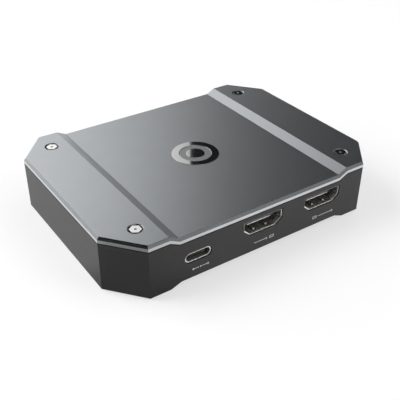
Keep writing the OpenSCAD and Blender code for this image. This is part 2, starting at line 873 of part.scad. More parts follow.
module spring_window() {
    width = spring_width + 2 * spring_slot;
    translate([-width / 2, spring_setback, -video_mouth / 2 - video_wall - joint])
        cube([width, spring_length, video_wall + 2 * joint]);
}

module video_shell(x) {
    color(steel_colour) at_video(x) {
        difference() {
            along_y(grown(video_outline, video_wall), 0, video_depth);
            along_y(video_outline, -margin, video_depth + margin);
            each_spring() spring_window();
        }
        each_spring() shell_spring();
        shell_legs(video_width, video_wall, video_leg_places, video_z);
    }
}

module video_tongue_body(x) {
    back = video_depth + video_flange;
    color(black_colour) at_video(x) difference() {
        union() {
            translate([-video_tongue_width / 2, video_setback, video_tongue_lift - video_tongue / 2])
                cube([video_tongue_width, video_depth - video_setback, video_tongue]);
            along_y(grown(video_outline, -fit_clearance), video_depth - video_block, back);
            translate([-video_foot / 2, video_depth, board_z - video_z])
                cube([video_foot, video_flange, video_lift]);
        }
        each_video_contact()
            contact_slot(video_contact_width, $row_z, video_depth - video_block - joint, back + margin);
    }
}

module video_contact_set(x) {
    color(gold_colour) at_video(x) each_video_contact()
        contact(video_contact_width, $row_z, video_setback + joint, video_tail, video_z);
}

module video_in_shell() {
    video_shell(video_in_x);
}

module video_in_tongue() {
    video_tongue_body(video_in_x);
}

module video_in_contacts() {
    video_contact_set(video_in_x);
}

module video_out_shell() {
    video_shell(video_out_x);
}

module video_out_tongue() {
    video_tongue_body(video_out_x);
}

module video_out_contacts() {
    video_contact_set(video_out_x);
}

// Audio sockets

// Springs lie on the two sides of the bore in turn
module jack_side(i) {
    mirror([i % 2, 0, 0]) children();
}

module jack_body(x) {
    radius = jack_bore / 2;
    color(black_colour) translate([x, 0, jack_z]) difference() {
        union() {
            translate([0, board_y - jack_length / 2, 0])
                box([jack_width, jack_length, jack_height], -jack_height / 2);
            rod_y(jack_nose, board_y - joint, back_y);
        }
        rod_y(jack_bore, board_y - jack_length + jack_end, back_y + margin);
        for (i = [0 : len(jack_spring_places) - 1]) jack_side(i)
            translate([radius - joint, board_y - jack_spring_places[i] - jack_window / 2, 0])
                translate([0, 0, -jack_spring_height / 2 - hole_clearance])
                    cube([jack_width, jack_window, jack_spring_height + 2 * hole_clearance]);
    }
}

// Spring that bends towards the bore, with a tail down the outside of the body and through the board
module jack_spring_leaf(y) {
    outside = jack_width / 2 + fit_clearance;
    seat = jack_bore / 2 + 2 * jack_spring;
    low = y - jack_window / 2 + hole_clearance;
    high = y + jack_window / 2 - hole_clearance;
    translate([0, 0, jack_z - jack_spring_height / 2]) linear_extrude(jack_spring_height)
        polygon(ribbon([
            [outside + jack_spring, low], [seat, low], [jack_bore / 2 + fit_clearance, y], [seat, high]
        ], -jack_spring));
    translate([outside + jack_spring / 2, low + leg_width / 2, 0])
        box([jack_spring, leg_width, jack_z + jack_spring_height / 2 - leg_end_z], leg_end_z);
}

module jack_spring_set(x) {
    color(gold_colour) translate([x, 0, 0])
        for (i = [0 : len(jack_spring_places) - 1])
            jack_side(i) jack_spring_leaf(board_y - jack_spring_places[i]);
}

module left_jack_body() {
    jack_body(jack_xs[0]);
}

module left_jack_springs() {
    jack_spring_set(jack_xs[0]);
}

module right_jack_body() {
    jack_body(jack_xs[1]);
}

module right_jack_springs() {
    jack_spring_set(jack_xs[1]);
}

// Status light

module status_lamp() {
    color("ivory") translate([0, board_y - lamp_depth / 2, 0])
        box([lamp_width, lamp_depth, lamp_height], board_z);
}

module light_pipe() {
    flange = board_gap - 2 * fit_clearance;
    color("whitesmoke") translate([0, 0, lamp_z]) {
        rod_y(pipe_diameter, wall_y - flange, half_y);
        rod_y(pipe_flange, wall_y - flange, wall_y);
    }
}

// Heat path

module capture_processor() {
    cap = processor_side - 2 * processor_margin;
    color(black_colour) {
        box([processor_side, processor_side, processor_base], board_z);
        box([cap, cap, processor_base + processor_cap], board_z);
    }
}

module lower_heat_pad() {
    side = processor_side - 2 * processor_margin;
    color(pad_colour) box([side, side, pad_thickness], processor_z);
}

module heat_block() {
    half = block_side / 2;
    cut = half - block_edge;
    color("gainsboro") upright([
        [cut, -half], [half, -cut], [half, cut], [cut, half],
        [-cut, half], [-half, cut], [-half, -cut], [-cut, -half]
    ], block_z, block_top_z);
}

module upper_heat_pad() {
    side = block_side - 2 * pad_margin;
    color(pad_colour) box([side, side, pad_thickness], block_top_z);
}

// Components

// Row of bent leads on the right-hand side of a chip
module lead_row(body, count, pitch) {
    shoulder = board_z + chip_gap + chip_height / 2;
    bend = body / 2 + lead_reach / 2;
    for (i = [0 : count - 1]) translate([0, (i - (count - 1) / 2) * pitch + lead_width / 2, 0])
        rotate([90, 0, 0]) linear_extrude(lead_width) polygon(ribbon([
            [body / 2 - joint, shoulder], [bend, shoulder], [bend, board_z], [body / 2 + lead_reach, board_z]
        ], contact_thickness));
}

module splitter_chip() {
    color(black_colour) at_each([splitter_place]) {
        box([splitter_side, splitter_side, chip_height], board_z + chip_gap);
        for (turn = [0 : 90 : 270]) rotate(turn) lead_row(splitter_side, splitter_leads, splitter_pitch);
    }
}

module firmware_chip() {
    color(black_colour) at_each([firmware_place]) {
        box([firmware_size.x, firmware_size.y, chip_height], board_z + chip_gap);
        for (turn = [0, 180]) rotate(turn) lead_row(firmware_size.x, firmware_leads, firmware_pitch);
    }
}

module memory_chips() {
    color(black_colour) at_each(memory_places)
        box([memory_size.x, memory_size.y, memory_height], board_z);
}

module audio_codec() {
    color(black_colour) at_each([codec_place]) box([codec_side, codec_side, memory_height], board_z);
}

module clock_crystals() {
    color(steel_colour) at_each(crystal_places) box(crystal_size, board_z);
}

module power_inductors() {
    half = inductor_side / 2;
    cut = half * 2 / 3;
    color("dimgray") at_each(inductor_places) upright([
        [cut, -half], [half, -cut], [half, cut], [cut, half],
        [-cut, half], [-half, cut], [-half, -cut], [-cut, -half]
    ], board_z, board_z + inductor_height);
}

module bulk_capacitors() {
    color(steel_colour) at_each(can_places) {
        box([can_diameter + joint, can_diameter + joint, can_base], board_z);
        translate([0, 0, board_z]) cylinder(d = can_diameter, h = can_height);
    }
}

module chip_capacitors() {
    row = block_side / 2 + capacitor_size.y;
    color("tan") for (turn = [180, 270], i = [0 : capacitor_count - 1])
        rotate(turn) translate([(i - (capacitor_count - 1) / 2) * capacitor_pitch, -row, 0])
            box(capacitor_size, board_z);
}

module surge_protectors() {
    color(black_colour) for (x = video_xs, side = [-1, 1])
        translate([x + side * surge_offset, surge_y, 0]) box(surge_size, board_z);
}

top_cover();
cover_mark();
base_tray();
cover_screws();
threaded_inserts();
rubber_feet();
main_board();
board_screws();
data_port_shell();
data_port_tongue();
data_port_contacts();
video_in_shell();
video_in_tongue();
video_in_contacts();
video_out_shell();
video_out_tongue();
video_out_contacts();
left_jack_body();
left_jack_springs();
right_jack_body();
right_jack_springs();
status_lamp();
light_pipe();
capture_processor();
splitter_chip();
memory_chips();
audio_codec();
firmware_chip();
clock_crystals();
power_inductors();
bulk_capacitors();
chip_capacitors();
surge_protectors();
lower_heat_pad();
heat_block();
upper_heat_pad();
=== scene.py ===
import json
import math

import bpy
from mathutils import Matrix, Vector

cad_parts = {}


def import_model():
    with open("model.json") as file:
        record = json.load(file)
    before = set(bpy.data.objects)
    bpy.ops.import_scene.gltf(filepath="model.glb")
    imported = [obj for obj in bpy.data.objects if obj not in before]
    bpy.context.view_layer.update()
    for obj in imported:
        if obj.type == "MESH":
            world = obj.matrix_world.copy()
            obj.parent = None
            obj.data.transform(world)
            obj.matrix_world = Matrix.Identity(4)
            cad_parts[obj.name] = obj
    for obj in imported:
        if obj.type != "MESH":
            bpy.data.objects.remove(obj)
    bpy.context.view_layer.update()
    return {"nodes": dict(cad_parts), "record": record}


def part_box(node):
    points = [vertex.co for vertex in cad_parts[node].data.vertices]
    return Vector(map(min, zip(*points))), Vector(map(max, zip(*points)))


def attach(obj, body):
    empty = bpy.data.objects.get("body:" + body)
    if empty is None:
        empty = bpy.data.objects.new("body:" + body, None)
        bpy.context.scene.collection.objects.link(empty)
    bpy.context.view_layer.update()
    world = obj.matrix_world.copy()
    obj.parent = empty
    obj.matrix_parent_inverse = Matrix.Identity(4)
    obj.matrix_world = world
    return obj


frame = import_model()
nodes = frame["nodes"]
MM = 0.001


# Material building blocks

# Numbers of a Mix node's factor, first input, second input and result, since their names repeat
MIX_SOCKETS = {"RGBA": (0, 6, 7, 2), "FLOAT": (0, 2, 3, 0)}


class Surface:
    """A Principled material, with short calls for the textures that drive it, in millimetres."""

    def __init__(self, name, **sockets):
        self.material = bpy.data.materials.new(name)
        self.material.use_nodes = True
        self.tree = self.material.node_tree
        self.shader = self.tree.nodes["Principled BSDF"]
        for socket, value in sockets.items():
            self.shader.inputs[socket.replace("_", " ")].default_value = value
        self.place = self.add("ShaderNodeTexCoord").outputs["Object"]

    def add(self, kind, **settings):
        node = self.tree.nodes.new(kind)
        for setting, value in settings.items():
            setattr(node, setting, value)
        return node

    def link(self, source, target):
        self.tree.links.new(source, target)

    def drive(self, socket, source):
        self.link(source, self.shader.inputs[socket])

    def stretched(self, stretch):
        """The place on the object, scaled along each axis, for grain that runs in one direction."""
        mapping = self.add("ShaderNodeMapping")
        mapping.inputs["Scale"].default_value = stretch
        self.link(self.place, mapping.inputs["Vector"])
        return mapping.outputs["Vector"]

    def noise(self, size, detail=2.0, rough=0.5, stretch=None):
        """Noise whose features are about this many millimetres across, from 0 to 1."""
        node = self.add("ShaderNodeTexNoise")
        node.inputs["Scale"].default_value = 1 / (size * MM)
        node.inputs["Detail"].default_value = detail
        node.inputs["Roughness"].default_value = rough
        self.link(self.stretched(stretch) if stretch else self.place, node.inputs["Vector"])
        return node.outputs["Fac"]

    def cells(self, size):
        """Distance to the middles of random cells of about this many millimetres, for sintered grain."""
        node = self.add("ShaderNodeTexVoronoi")
        node.inputs["Scale"].default_value = 1 / (size * MM)
        self.link(self.place, node.inputs["Vector"])
        return node.outputs["Distance"]

    def span(self, value, low, high, source_low=0.3, source_high=0.7):
        """A value remapped to a range of numbers."""
        node = self.add("ShaderNodeMapRange")
        for socket, number in zip(("From Min", "From Max", "To Min", "To Max"),
                                  (source_low, source_high, low, high)):
            node.inputs[socket].default_value = number
        self.link(value, node.inputs["Value"])
        return node.outputs["Result"]

    def colours(self, value, low, high, source_low=0.3, source_high=0.7):
        """A value turned into a colour between two colours."""
        node = self.add("ShaderNodeValToRGB")
        ends = node.color_ramp.elements
        ends[0].position, ends[1].position = source_low, source_high
        ends[0].color, ends[1].color = (*low, 1), (*high, 1)
        self.link(value, node.inputs["Fac"])
        return node.outputs["Color"]

    def blend(self, kind, mask, low, high):
        """Colours or numbers: the low one where the mask is 0, and the high one where it is 1."""
        node = self.add("ShaderNodeMix", data_type=kind)
        factor, first, second, result = MIX_SOCKETS[kind]
        for socket, source in ((factor, mask), (first, low), (second, high)):
            self.link(source, node.inputs[socket])
        return node.outputs[result]

    def facing_below(self, axis, low, high):
        """1 on faces whose normal's part along an axis is under low, and 0 where it is over high."""
        geometry = self.add("ShaderNodeNewGeometry")
        parts = self.add("ShaderNodeSeparateXYZ")
        self.link(geometry.outputs["Normal"], parts.inputs[0])
        return self.span(parts.outputs[axis], 1, 0, low, high)

    def bump(self, height, depth, strength=1.0):
        """Relief of this depth in millimetres on the surface's normal."""
        node = self.add("ShaderNodeBump")
        node.inputs["Strength"].default_value = strength
        node.inputs["Distance"].default_value = depth * MM
        self.link(height, node.inputs["Height"])
        self.drive("Normal", node.outputs["Normal"])


def tinted(colour, factor):
    return tuple(min(1.0, part * factor) for part in colour)


def grained(name, colour, rough, grain, depth, vary=0.08, rough_vary=0.05, patch=6.0, stretch=None,
            **sockets):
    """Surface with patchy colour and gloss, and a fine relief of the given grain size and depth."""
    surface = Surface(name, **sockets)
    patches = surface.noise(patch, detail=4.0, rough=0.6)
    fine = surface.noise(grain, detail=3.0, stretch=stretch)
    dark, pale = tinted(colour, 1 - vary), tinted(colour, 1 + vary)
    surface.drive("Base Color", surface.colours(patches, dark, pale))
    surface.drive("Roughness", surface.span(fine, rough - rough_vary, rough + rough_vary))
    surface.bump(fine, depth)
    return surface.material


# Materials: one for each slot of the record, and two for the scene's own pieces

COVER_GREY = (0.59, 0.615, 0.635)
COVER_CUT = (0.59, 0.61, 0.625)
TRAY_GREY = (0.026, 0.026, 0.026)
NICKEL = (0.8, 0.79, 0.77)
FERRITE_DARK, FERRITE_PALE = (0.035, 0.035, 0.037), (0.075, 0.075, 0.078)
MASK_DARK, MASK_PALE, TRACK = (0.012, 0.0125, 0.012), (0.015, 0.0155, 0.015), (0.034, 0.033, 0.028)
TRACK_PITCH = 4


def cover_metal():
    """Blasted and anodised plate, with bevels and edges that were cut bright afterwards."""
    surface = Surface("cover_metal", Metallic=1.0)
    cut = surface.facing_below("Z", 0.72, 0.82)
    patches = surface.noise(9.0, detail=5.0, rough=0.6)
    blast = surface.noise(0.16, detail=3.0, rough=0.65)
    lines = surface.noise(0.3, detail=2.0, stretch=(0.06, 0.06, 1.0))
    satin = surface.colours(patches, tinted(COVER_GREY, 0.985), tinted(COVER_GREY, 1.015))
    bright = surface.colours(lines, tinted(COVER_CUT, 0.95), tinted(COVER_CUT, 1.05))
    surface.drive("Base Color", surface.blend("RGBA", cut, satin, bright))
    satin_rough = surface.span(blast, 0.355, 0.405)
    bright_rough = surface.span(lines, 0.13, 0.2)
    surface.drive("Roughness", surface.blend("FLOAT", cut, satin_rough, bright_rough))
    surface.bump(surface.blend("FLOAT", cut, blast, lines), 0.003)
    return surface.material


def tray_plastic():
    """Dark moulding with a fine spark-eroded texture."""
    surface = Surface("tray_plastic", IOR=1.43)
    patches = surface.noise(14.0, detail=4.0, rough=0.6)
    grain = surface.noise(0.22, detail=4.0, rough=0.7)
    dark, pale = tinted(TRAY_GREY, 0.96), tinted(TRAY_GREY, 1.04)
    surface.drive("Base Color", surface.colours(patches, dark, pale))
    surface.drive("Roughness", surface.span(grain, 0.38, 0.48))
    surface.bump(grain, 0.012)
    return surface.material


def board():
    """Black solder mask with the tracks showing faintly through it."""
    surface = Surface("board", Coat_Weight=0.4, Coat_Roughness=0.12)
    tracks = surface.add("ShaderNodeTexBrick", offset=0.35, squash=1.0)
    tracks.inputs["Scale"].default_value = 1 / (TRACK_PITCH * MM)
    tracks.inputs["Mortar Size"].default_value = 0.03
    for socket, colour in (("Color1", MASK_DARK), ("Color2", MASK_PALE), ("Mortar", TRACK)):
        tracks.inputs[socket].default_value = (*colour, 1)
    surface.link(surface.place, tracks.inputs["Vector"])
    surface.drive("Base Color", tracks.outputs["Color"])
    surface.drive("Roughness", surface.span(surface.noise(0.8, detail=3.0), 0.28, 0.4))
    surface.bump(tracks.outputs["Fac"], 0.03, strength=0.5)
    return surface.material


def socket_steel():
    """Plated sheet, with its front-facing rims tinted darker as painted shade."""
    surface = Surface("socket_steel", Metallic=0.9)
    rim = surface.facing_below("Y", -0.8, -0.6)
    patches = surface.noise(1.5, detail=4.0, rough=0.6)
    drawn = surface.noise(0.35, detail=3.0, stretch=(0.3, 0.06, 0.3))
    plated = surface.colours(patches, tinted(NICKEL, 0.9), tinted(NICKEL, 1.0))
    # Painted shade: faces that face the front, the shells' rims, get a much darker copy of the nickel
    shaded_rim = surface.colours(patches, tinted(NICKEL, 0.38), tinted(NICKEL, 0.44))
    surface.drive("Base Color", surface.blend("RGBA", rim, plated, shaded_rim))
    surface.drive("Roughness", surface.span(drawn, 0.22, 0.34))
    surface.bump(drawn, 0.0015)
    return surface.material


def ferrite():
    """Pressed and sintered grains that catch the light one by one."""
    surface = Surface("ferrite")
    grains = surface.cells(0.18)
    surface.drive("Base Color", surface.colours(grains, FERRITE_DARK, FERRITE_PALE, 0.1, 0.8))
    surface.drive("Roughness", surface.span(grains, 0.42, 0.65, 0.1, 0.8))
    surface.bump(grains, 0.02)
    return surface.material


def clear_plastic():
    """Frosted light guide, a little milky."""
    surface = Surface("clear_plastic", Transmission_Weight=0.75, IOR=1.49)
    cloud = surface.noise(0.6, detail=4.0)
    surface.drive("Base Color", surface.colours(cloud, (0.8, 0.83, 0.85), (0.9, 0.92, 0.93)))
    surface.drive("Roughness", surface.span(cloud, 0.25, 0.4))
    surface.bump(surface.noise(0.12), 0.006)
    return surface.material


# Even materials: roughness, then grain size and depth of the relief in millimetres
GRAINED = {
    "polished_metal": dict(colour=(0.8, 0.8, 0.79), rough=0.045, grain=0.5, depth=0.0003, vary=0.02,
                           rough_vary=0.015, Metallic=1.0),
    "brass": dict(colour=(0.6, 0.42, 0.16), rough=0.26, grain=0.2, depth=0.006, stretch=(0.1, 0.1, 1.0),
                  Metallic=1.0),
    "rubber": dict(colour=(0.022, 0.022, 0.022), rough=0.78, grain=0.25, depth=0.02, vary=0.15,
                   Specular_IOR_Level=0.3),
    "socket_plastic": dict(colour=(0.05, 0.045, 0.04), rough=0.5, grain=0.3, depth=0.01, vary=0.12),
    "gold_contact": dict(colour=(0.83, 0.57, 0.2), rough=0.22, grain=0.2, depth=0.001, vary=0.06, patch=0.8,
                         Metallic=1.0),
    "lamp": dict(colour=(0.78, 0.74, 0.62), rough=0.3, grain=0.2, depth=0.004, vary=0.05, patch=0.5),
    "chip": dict(colour=(0.018, 0.018, 0.019), rough=0.48, grain=0.15, depth=0.01, vary=0.15, patch=2.0),
    "bare_metal": dict(colour=(0.72, 0.73, 0.74), rough=0.32, grain=0.3, depth=0.004, vary=0.04,
                       stretch=(1.0, 0.05, 1.0), Metallic=1.0),
    "ceramic": dict(colour=(0.32, 0.2, 0.1), rough=0.32, grain=0.1, depth=0.004, vary=0.12, patch=1.0),
    "heat_pad": dict(colour=(0.32, 0.4, 0.47), rough=0.72, grain=0.2, depth=0.02, vary=0.08, patch=3.0),
    "ink": dict(colour=(0.6, 0.6, 0.6), rough=0.55, grain=0.08, depth=0.002, vary=0.18, patch=0.35),
    # Pale, partly diffuse metal for the painted highlights on the sockets: lips, tongue edges and spring
    # dimples
    "painted_highlight_metal": dict(colour=(0.93, 0.92, 0.9), rough=0.25, grain=0.2, depth=0.0003, vary=0.03,
                      rough_vary=0.02, patch=1.5, Metallic=0.6),
}
materials = {name: grained(name, **values) for name, values in GRAINED.items()}
for make in (cover_metal, tray_plastic, board, socket_steel, ferrite, clear_plastic):
    materials[make.__name__] = make()

for part in frame["record"]["subparts"]:
    slots = nodes[part["node"]].data.materials
    slots.clear()
    slots.append(materials[part["material_slot"]])


# Softened edges on the CAD nodes that show, with radii in millimetres

EDGE_RADII = {
    "top_cover": 0.1, "base_tray": 0.16, "cover_mark": 0.03, "cover_screws": 0.05, "rubber_feet": 0.12,
    "data_port_shell": 0.08, "video_in_shell": 0.08, "video_out_shell": 0.08,
    "left_jack_body": 0.1, "right_jack_body": 0.1, "light_pipe": 0.1,
}
WELD_REACH = 0.001 * MM
FLAT_ANGLE = math.radians(0.5)
SHARP_ANGLE = math.radians(20)
ROUNDING_STEPS = 2
FLAT_WEIGHT = 100


def soften(node, radius):
    """Joins the node's facets into whole faces, rounds its sharp edges and shades flat faces flat."""
    weld = nodes[node].modifiers.new("weld", "WELD")
    weld.merge_threshold = WELD_REACH
    facets = nodes[node].modifiers.new("whole_faces", "DECIMATE")
    facets.decimate_type = "DISSOLVE"
    facets.angle_limit = FLAT_ANGLE
    bevel = nodes[node].modifiers.new("edges", "BEVEL")
    bevel.width = radius * MM
    bevel.segments = ROUNDING_STEPS
    bevel.limit_method = "ANGLE"
    bevel.angle_limit = SHARP_ANGLE
    normals = nodes[node].modifiers.new("flat_faces", "WEIGHTED_NORMAL")
    normals.mode = "FACE_AREA"
    normals.weight = FLAT_WEIGHT


for name, radius in EDGE_RADII.items():
    soften(name, radius)


# Printed signs under the front sockets

WALL_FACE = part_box("base_tray")[0].y
INK = 0.02 * MM
SIGN_Z = 4.75 * MM
SIGN_HEIGHT = 0.95 * MM
SIGN_HALF = SIGN_HEIGHT / 2
STROKE = 0.24 * MM
ARROW_HEAD = 0.42 * SIGN_HEIGHT
DATA_TAIL, DATA_TIP, DATA_DOT = 0.6 * MM, 3.0 * MM, 0.3 * MM
IN_TAIL, IN_TIP, IN_SCREEN = -3.9 * MM, 1.3 * MM, (2.0 * MM, 3.8 * MM)
OUT_TAIL, OUT_TIP, OUT_SCREEN = -1.9 * MM, 4.4 * MM, (-4.4 * MM, -2.6 * MM)
SIGN_SHIFT = {"data_port": 0.7 * MM, "video_in": 0.6 * MM, "video_out": 1.1 * MM}


def middle(node):
    low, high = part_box(node)
    return (low + high) / 2


def arrow(tail, tip, head=ARROW_HEAD):
    """A line that ends against an open arrow head, as outlines that meet without overlapping."""
    way = 1 if tip > tail else -1
    half, thick = STROKE / 2, STROKE * math.sqrt(2)
    neck = tip - way * (thick + half)
    line = [(tail, -half), (neck, -half), (tip - way * thick, 0), (neck, half), (tail, half)]
    arms = [
        [(tip, 0), (tip - way * head, rise), (tip - way * (head + thick), rise), (tip - way * thick, 0)]
        for rise in (head, -head)
    ]
    return [line] + arms


def screen(left, right, half=SIGN_HALF):
    """The outline of a screen: four strips that meet in mitres."""
    outer = [(left, -half), (right, -half), (right, half), (left, half)]
    left, right, half = left + STROKE, right - STROKE, half - STROKE
    inner = [(left, -half), (right, -half), (right, half), (left, half)]
    return [[outer[i - 1], outer[i], inner[i], inner[i - 1]] for i in range(4)]


def dot(x, radius, sides=12):
    turns = [2 * math.pi * i / sides for i in range(sides)]
    return [[(x + radius * math.cos(t), radius * math.sin(t)) for t in turns]]


def anticlockwise(points):
    """The same outline, turned round where its corners run clockwise."""
    area = sum(a[0] * b[1] - b[0] * a[1] for a, b in zip(points, points[1:] + points[:1]))
    return points if area > 0 else points[::-1]


def solid_piece(name, loops, material):
    """A piece made of closed solids, each between a front loop of points and a back loop."""
    verts, faces = [], []
    for front, back in loops:
        start, count = len(verts), len(front)
        verts += front + back
        faces.append(list(range(start, start + count)))
        faces.append(list(range(start + 2 * count - 1, start + count - 1, -1)))
        for i in range(count):
            j = (i + 1) % count
            faces.append([start + j, start + i, start + count + i, start + count + j])
    mesh = bpy.data.meshes.new(name)
    mesh.from_pydata(verts, [], faces)
    piece = bpy.data.objects.new(name, mesh)
    bpy.context.scene.collection.objects.link(piece)
    piece.data.materials.append(material)
    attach(piece, "root")


def plates(name, x, z, front, back, outlines, material):
    """A piece made of upright plates with these outlines, between two depths."""
    loops = [
        [[(x + p[0], y, z + p[1]) for p in points] for y in (front, back)]
        for points in map(anticlockwise, outlines)
    ]
    solid_piece(name, loops, material)


def sign(name, socket, outlines):
    """Thin raised ink on the front wall, which starts just inside the wall's face."""
    x = middle(socket + "_shell").x + SIGN_SHIFT[socket]
    plates(name, x, SIGN_Z, WALL_FACE - INK, WALL_FACE + INK, outlines, materials["ink"])


sign("data_sign", "data_port", arrow(-DATA_TAIL, -DATA_TIP) + arrow(DATA_TAIL, DATA_TIP) + dot(0, DATA_DOT))
sign("video_in_sign", "video_in", arrow(IN_TAIL, IN_TIP) + screen(*IN_SCREEN))
sign("video_out_sign", "video_out", screen(*OUT_SCREEN) + arrow(OUT_TAIL, OUT_TIP))


# Painted highlights: bright strips on the lower edges of the video tongues' tips

# Heights from the middle of a video mouth: up to the shell's top, and down to the tongue's lower edge
MOUTH_TO_TOP = 2.575 * MM
TONGUE_LOW = -0.35 * MM
TONGUE_HALF = 4.5 * MM
EDGE_HEIGHT = 0.3 * MM
EDGE_PROUD = 0.03 * MM


def tongue_highlight(socket):
    """A thin bright strip with cut corners on the tip of the tongue, along its lower edge: a painted
    highlight.
    """
    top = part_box(socket + "_shell")[1].z
    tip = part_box(socket + "_tongue")[0].y
    half, high = TONGUE_HALF, EDGE_HEIGHT
    cut = high / 3
    outline = [
        (-half, 0), (half, 0), (half, high - cut),
        (half - cut, high), (cut - half, high), (-half, high - cut)
    ]
    plates(socket + "_tongue_highlight", middle(socket + "_shell").x, top - MOUTH_TO_TOP + TONGUE_LOW,
           tip - EDGE_PROUD, tip + EDGE_PROUD, [outline], materials["painted_highlight_metal"])


tongue_highlight("video_in")
tongue_highlight("video_out")


# Painted highlights: bright lips round the data mouth, and on the lower and right edges of the video mouths

LIP = 0.34 * MM
LIP_PROUD = 0.03 * MM
# The data mouth: from its middle to the shell's top, its ends' radius and the distance to their middles
DATA_TO_TOP = 1.64 * MM
DATA_ROUND = 1.28 * MM
DATA_STRAIGHT = 2.89 * MM
# The video mouth: half widths of its sides and its floor, and heights along its sides over its middle
VIDEO_SIDE, VIDEO_FLAT = 7.0 * MM, 4.8 * MM
VIDEO_HIGH, VIDEO_SLANT, VIDEO_DEEP = 2.1 * MM, -0.375 * MM, -2.275 * MM


def band(path, width):
    """Strips of this width on the right-hand side of a path, which meet in mitres."""
    points = [Vector(point) for point in path]
    ways = [(b - a).normalized() for a, b in zip(points, points[1:])]
    sides = [Vector((way.y, -way.x)) for way in ways]
    mitres = [(a + b) / (1 + a.dot(b)) for a, b in zip(sides[:1] + sides, sides + sides[-1:])]
    outer = [point + mitre * width for point, mitre in zip(points, mitres)]
    return [[points[i], points[i + 1], outer[i + 1], outer[i]] for i in range(len(ways))]


def half_turn(x, start, sides=16):
    """The points of a round end of the data mouth, from a starting angle on."""
    turns = [math.radians(start + 180 * i / sides) for i in range(sides + 1)]
    return [(x + DATA_ROUND * math.cos(turn), DATA_ROUND * math.sin(turn)) for turn in turns]


def lip(socket, drop, path):
    """A bright strip on the front of a socket's shell: a painted highlight."""
    low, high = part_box(socket + "_shell")
    plates(socket + "_lip", (low.x + high.x) / 2, high.z - drop, low.y - LIP_PROUD, low.y + LIP_PROUD,
           band(path, LIP), materials["painted_highlight_metal"])


data_ends = half_turn(-DATA_STRAIGHT, 90) + half_turn(DATA_STRAIGHT, 270)
lip("data_port", DATA_TO_TOP, [(0, DATA_ROUND)] + data_ends + [(0, DATA_ROUND)])
video_floor = [
    (-VIDEO_SIDE, VIDEO_SLANT), (-VIDEO_FLAT, VIDEO_DEEP), (VIDEO_FLAT, VIDEO_DEEP),
    (VIDEO_SIDE, VIDEO_SLANT), (VIDEO_SIDE, VIDEO_HIGH)
]
lip("video_in", MOUTH_TO_TOP, video_floor)
lip("video_out", MOUTH_TO_TOP, video_floor)


# Contact dimples on the tips of the springs in the video shells, in a pale metal that paints glints on them

SPRING_X = 2.35 * MM
DIMPLE_HALF = 0.36 * MM
# Depth behind the mouth and height over the shell's inner face, in millimetres
DIMPLE_SIDE = [(1.2, -0.02), (1.47, 0.24), (1.6, 0.26), (1.75, 0.19), (1.25, 0.02)]


def spring_dimple_glints(socket):
    """Coined contact points on the two springs in the shell's floor and the two in its roof, bright as
    painted glints.
    """
    low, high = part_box(socket + "_shell")
    x, z = middle(socket + "_shell").x, high.z - MOUTH_TO_TOP
    loops = []
    for side in (x - SPRING_X, x + SPRING_X):
        for way in (1, -1):
            outline = anticlockwise([
                (low.y + depth * MM, z + way * (VIDEO_DEEP + height * MM)) for depth, height in DIMPLE_SIDE
            ])
            ends = (side + DIMPLE_HALF, side - DIMPLE_HALF)
            loops.append([[(end, *point) for point in outline] for end in ends])
    solid_piece(socket + "_spring_dimple_glints", loops, materials["painted_highlight_metal"])


spring_dimple_glints("video_in")
spring_dimple_glints("video_out")


# Floor and studio

SEEN_RAYS = ["Is Camera Ray", "Is Glossy Ray", "Is Transmission Ray"]
FLOOR_GREY = (0.88, 0.88, 0.88)
FLOOR_REACH = 6.0
# White that seen rays add to the floor near the object, and the distances over which it goes to 1
SHOWN_WHITE = 0.6
WHITE_REACH = (0.25, 0.8)


def grid_mesh(name, rows):
    """A mesh through rows of points, each row with the same count."""
    count = len(rows[0])
    verts = [p for row in rows for p in row]
    faces = [
        [r * count + c, r * count + c + 1, (r + 1) * count + c + 1, (r + 1) * count + c]
        for r in range(len(rows) - 1) for c in range(count - 1)
    ]
    mesh = bpy.data.meshes.new(name)
    mesh.from_pydata(verts, [], faces)
    thing = bpy.data.objects.new(name, mesh)
    bpy.context.scene.collection.objects.link(thing)
    return thing


def either(tree, rays):
    """1 for a ray of any of these kinds."""
    path = tree.nodes.new("ShaderNodeLightPath")
    seen = path.outputs[rays[0]]
    for ray in rays[1:]:
        most = tree.nodes.new("ShaderNodeMath")
        most.operation = "MAXIMUM"
        tree.links.new(seen, most.inputs[0])
        tree.links.new(path.outputs[ray], most.inputs[1])
        seen = most.outputs[0]
    return seen


def mix_shaders(tree, factor, first, second, output):
    mix = tree.nodes.new("ShaderNodeMixShader")
    tree.links.new(factor, mix.inputs["Fac"])
    tree.links.new(first, mix.inputs[1])
    tree.links.new(second, mix.inputs[2])
    tree.links.new(mix.outputs[0], output)


def floor_material():
    """Pale paper that is lifted towards white, fully so far from the object, and keeps the shadow."""
    surface = Surface("floor", Specular_IOR_Level=0.1)
    fibre = surface.noise(2.0, detail=4.0)
    dark, pale = tinted(FLOOR_GREY, 0.995), tinted(FLOOR_GREY, 1.005)
    surface.drive("Base Color", surface.colours(fibre, dark, pale))
    surface.drive("Roughness", surface.span(fibre, 0.85, 0.95))
    white = surface.add("ShaderNodeEmission")
    seen = either(surface.tree, SEEN_RAYS)
    away = surface.add("ShaderNodeVectorMath", operation="LENGTH")
    surface.link(surface.place, away.inputs[0])
    lifted = surface.span(away.outputs["Value"], SHOWN_WHITE, 1, *WHITE_REACH)
    share = surface.add("ShaderNodeMath", operation="MULTIPLY")
    surface.link(seen, share.inputs[0])
    surface.link(lifted, share.inputs[1])
    output = surface.tree.nodes["Material Output"].inputs["Surface"]
    mix_shaders(surface.tree, share.outputs[0], surface.shader.outputs[0], white.outputs[0], output)
    return surface.material


floor_ends = (-FLOOR_REACH, FLOOR_REACH)
floor = grid_mesh("floor", [[(x, y, 0) for x in floor_ends] for y in floor_ends])
floor.data.materials.append(floor_material())


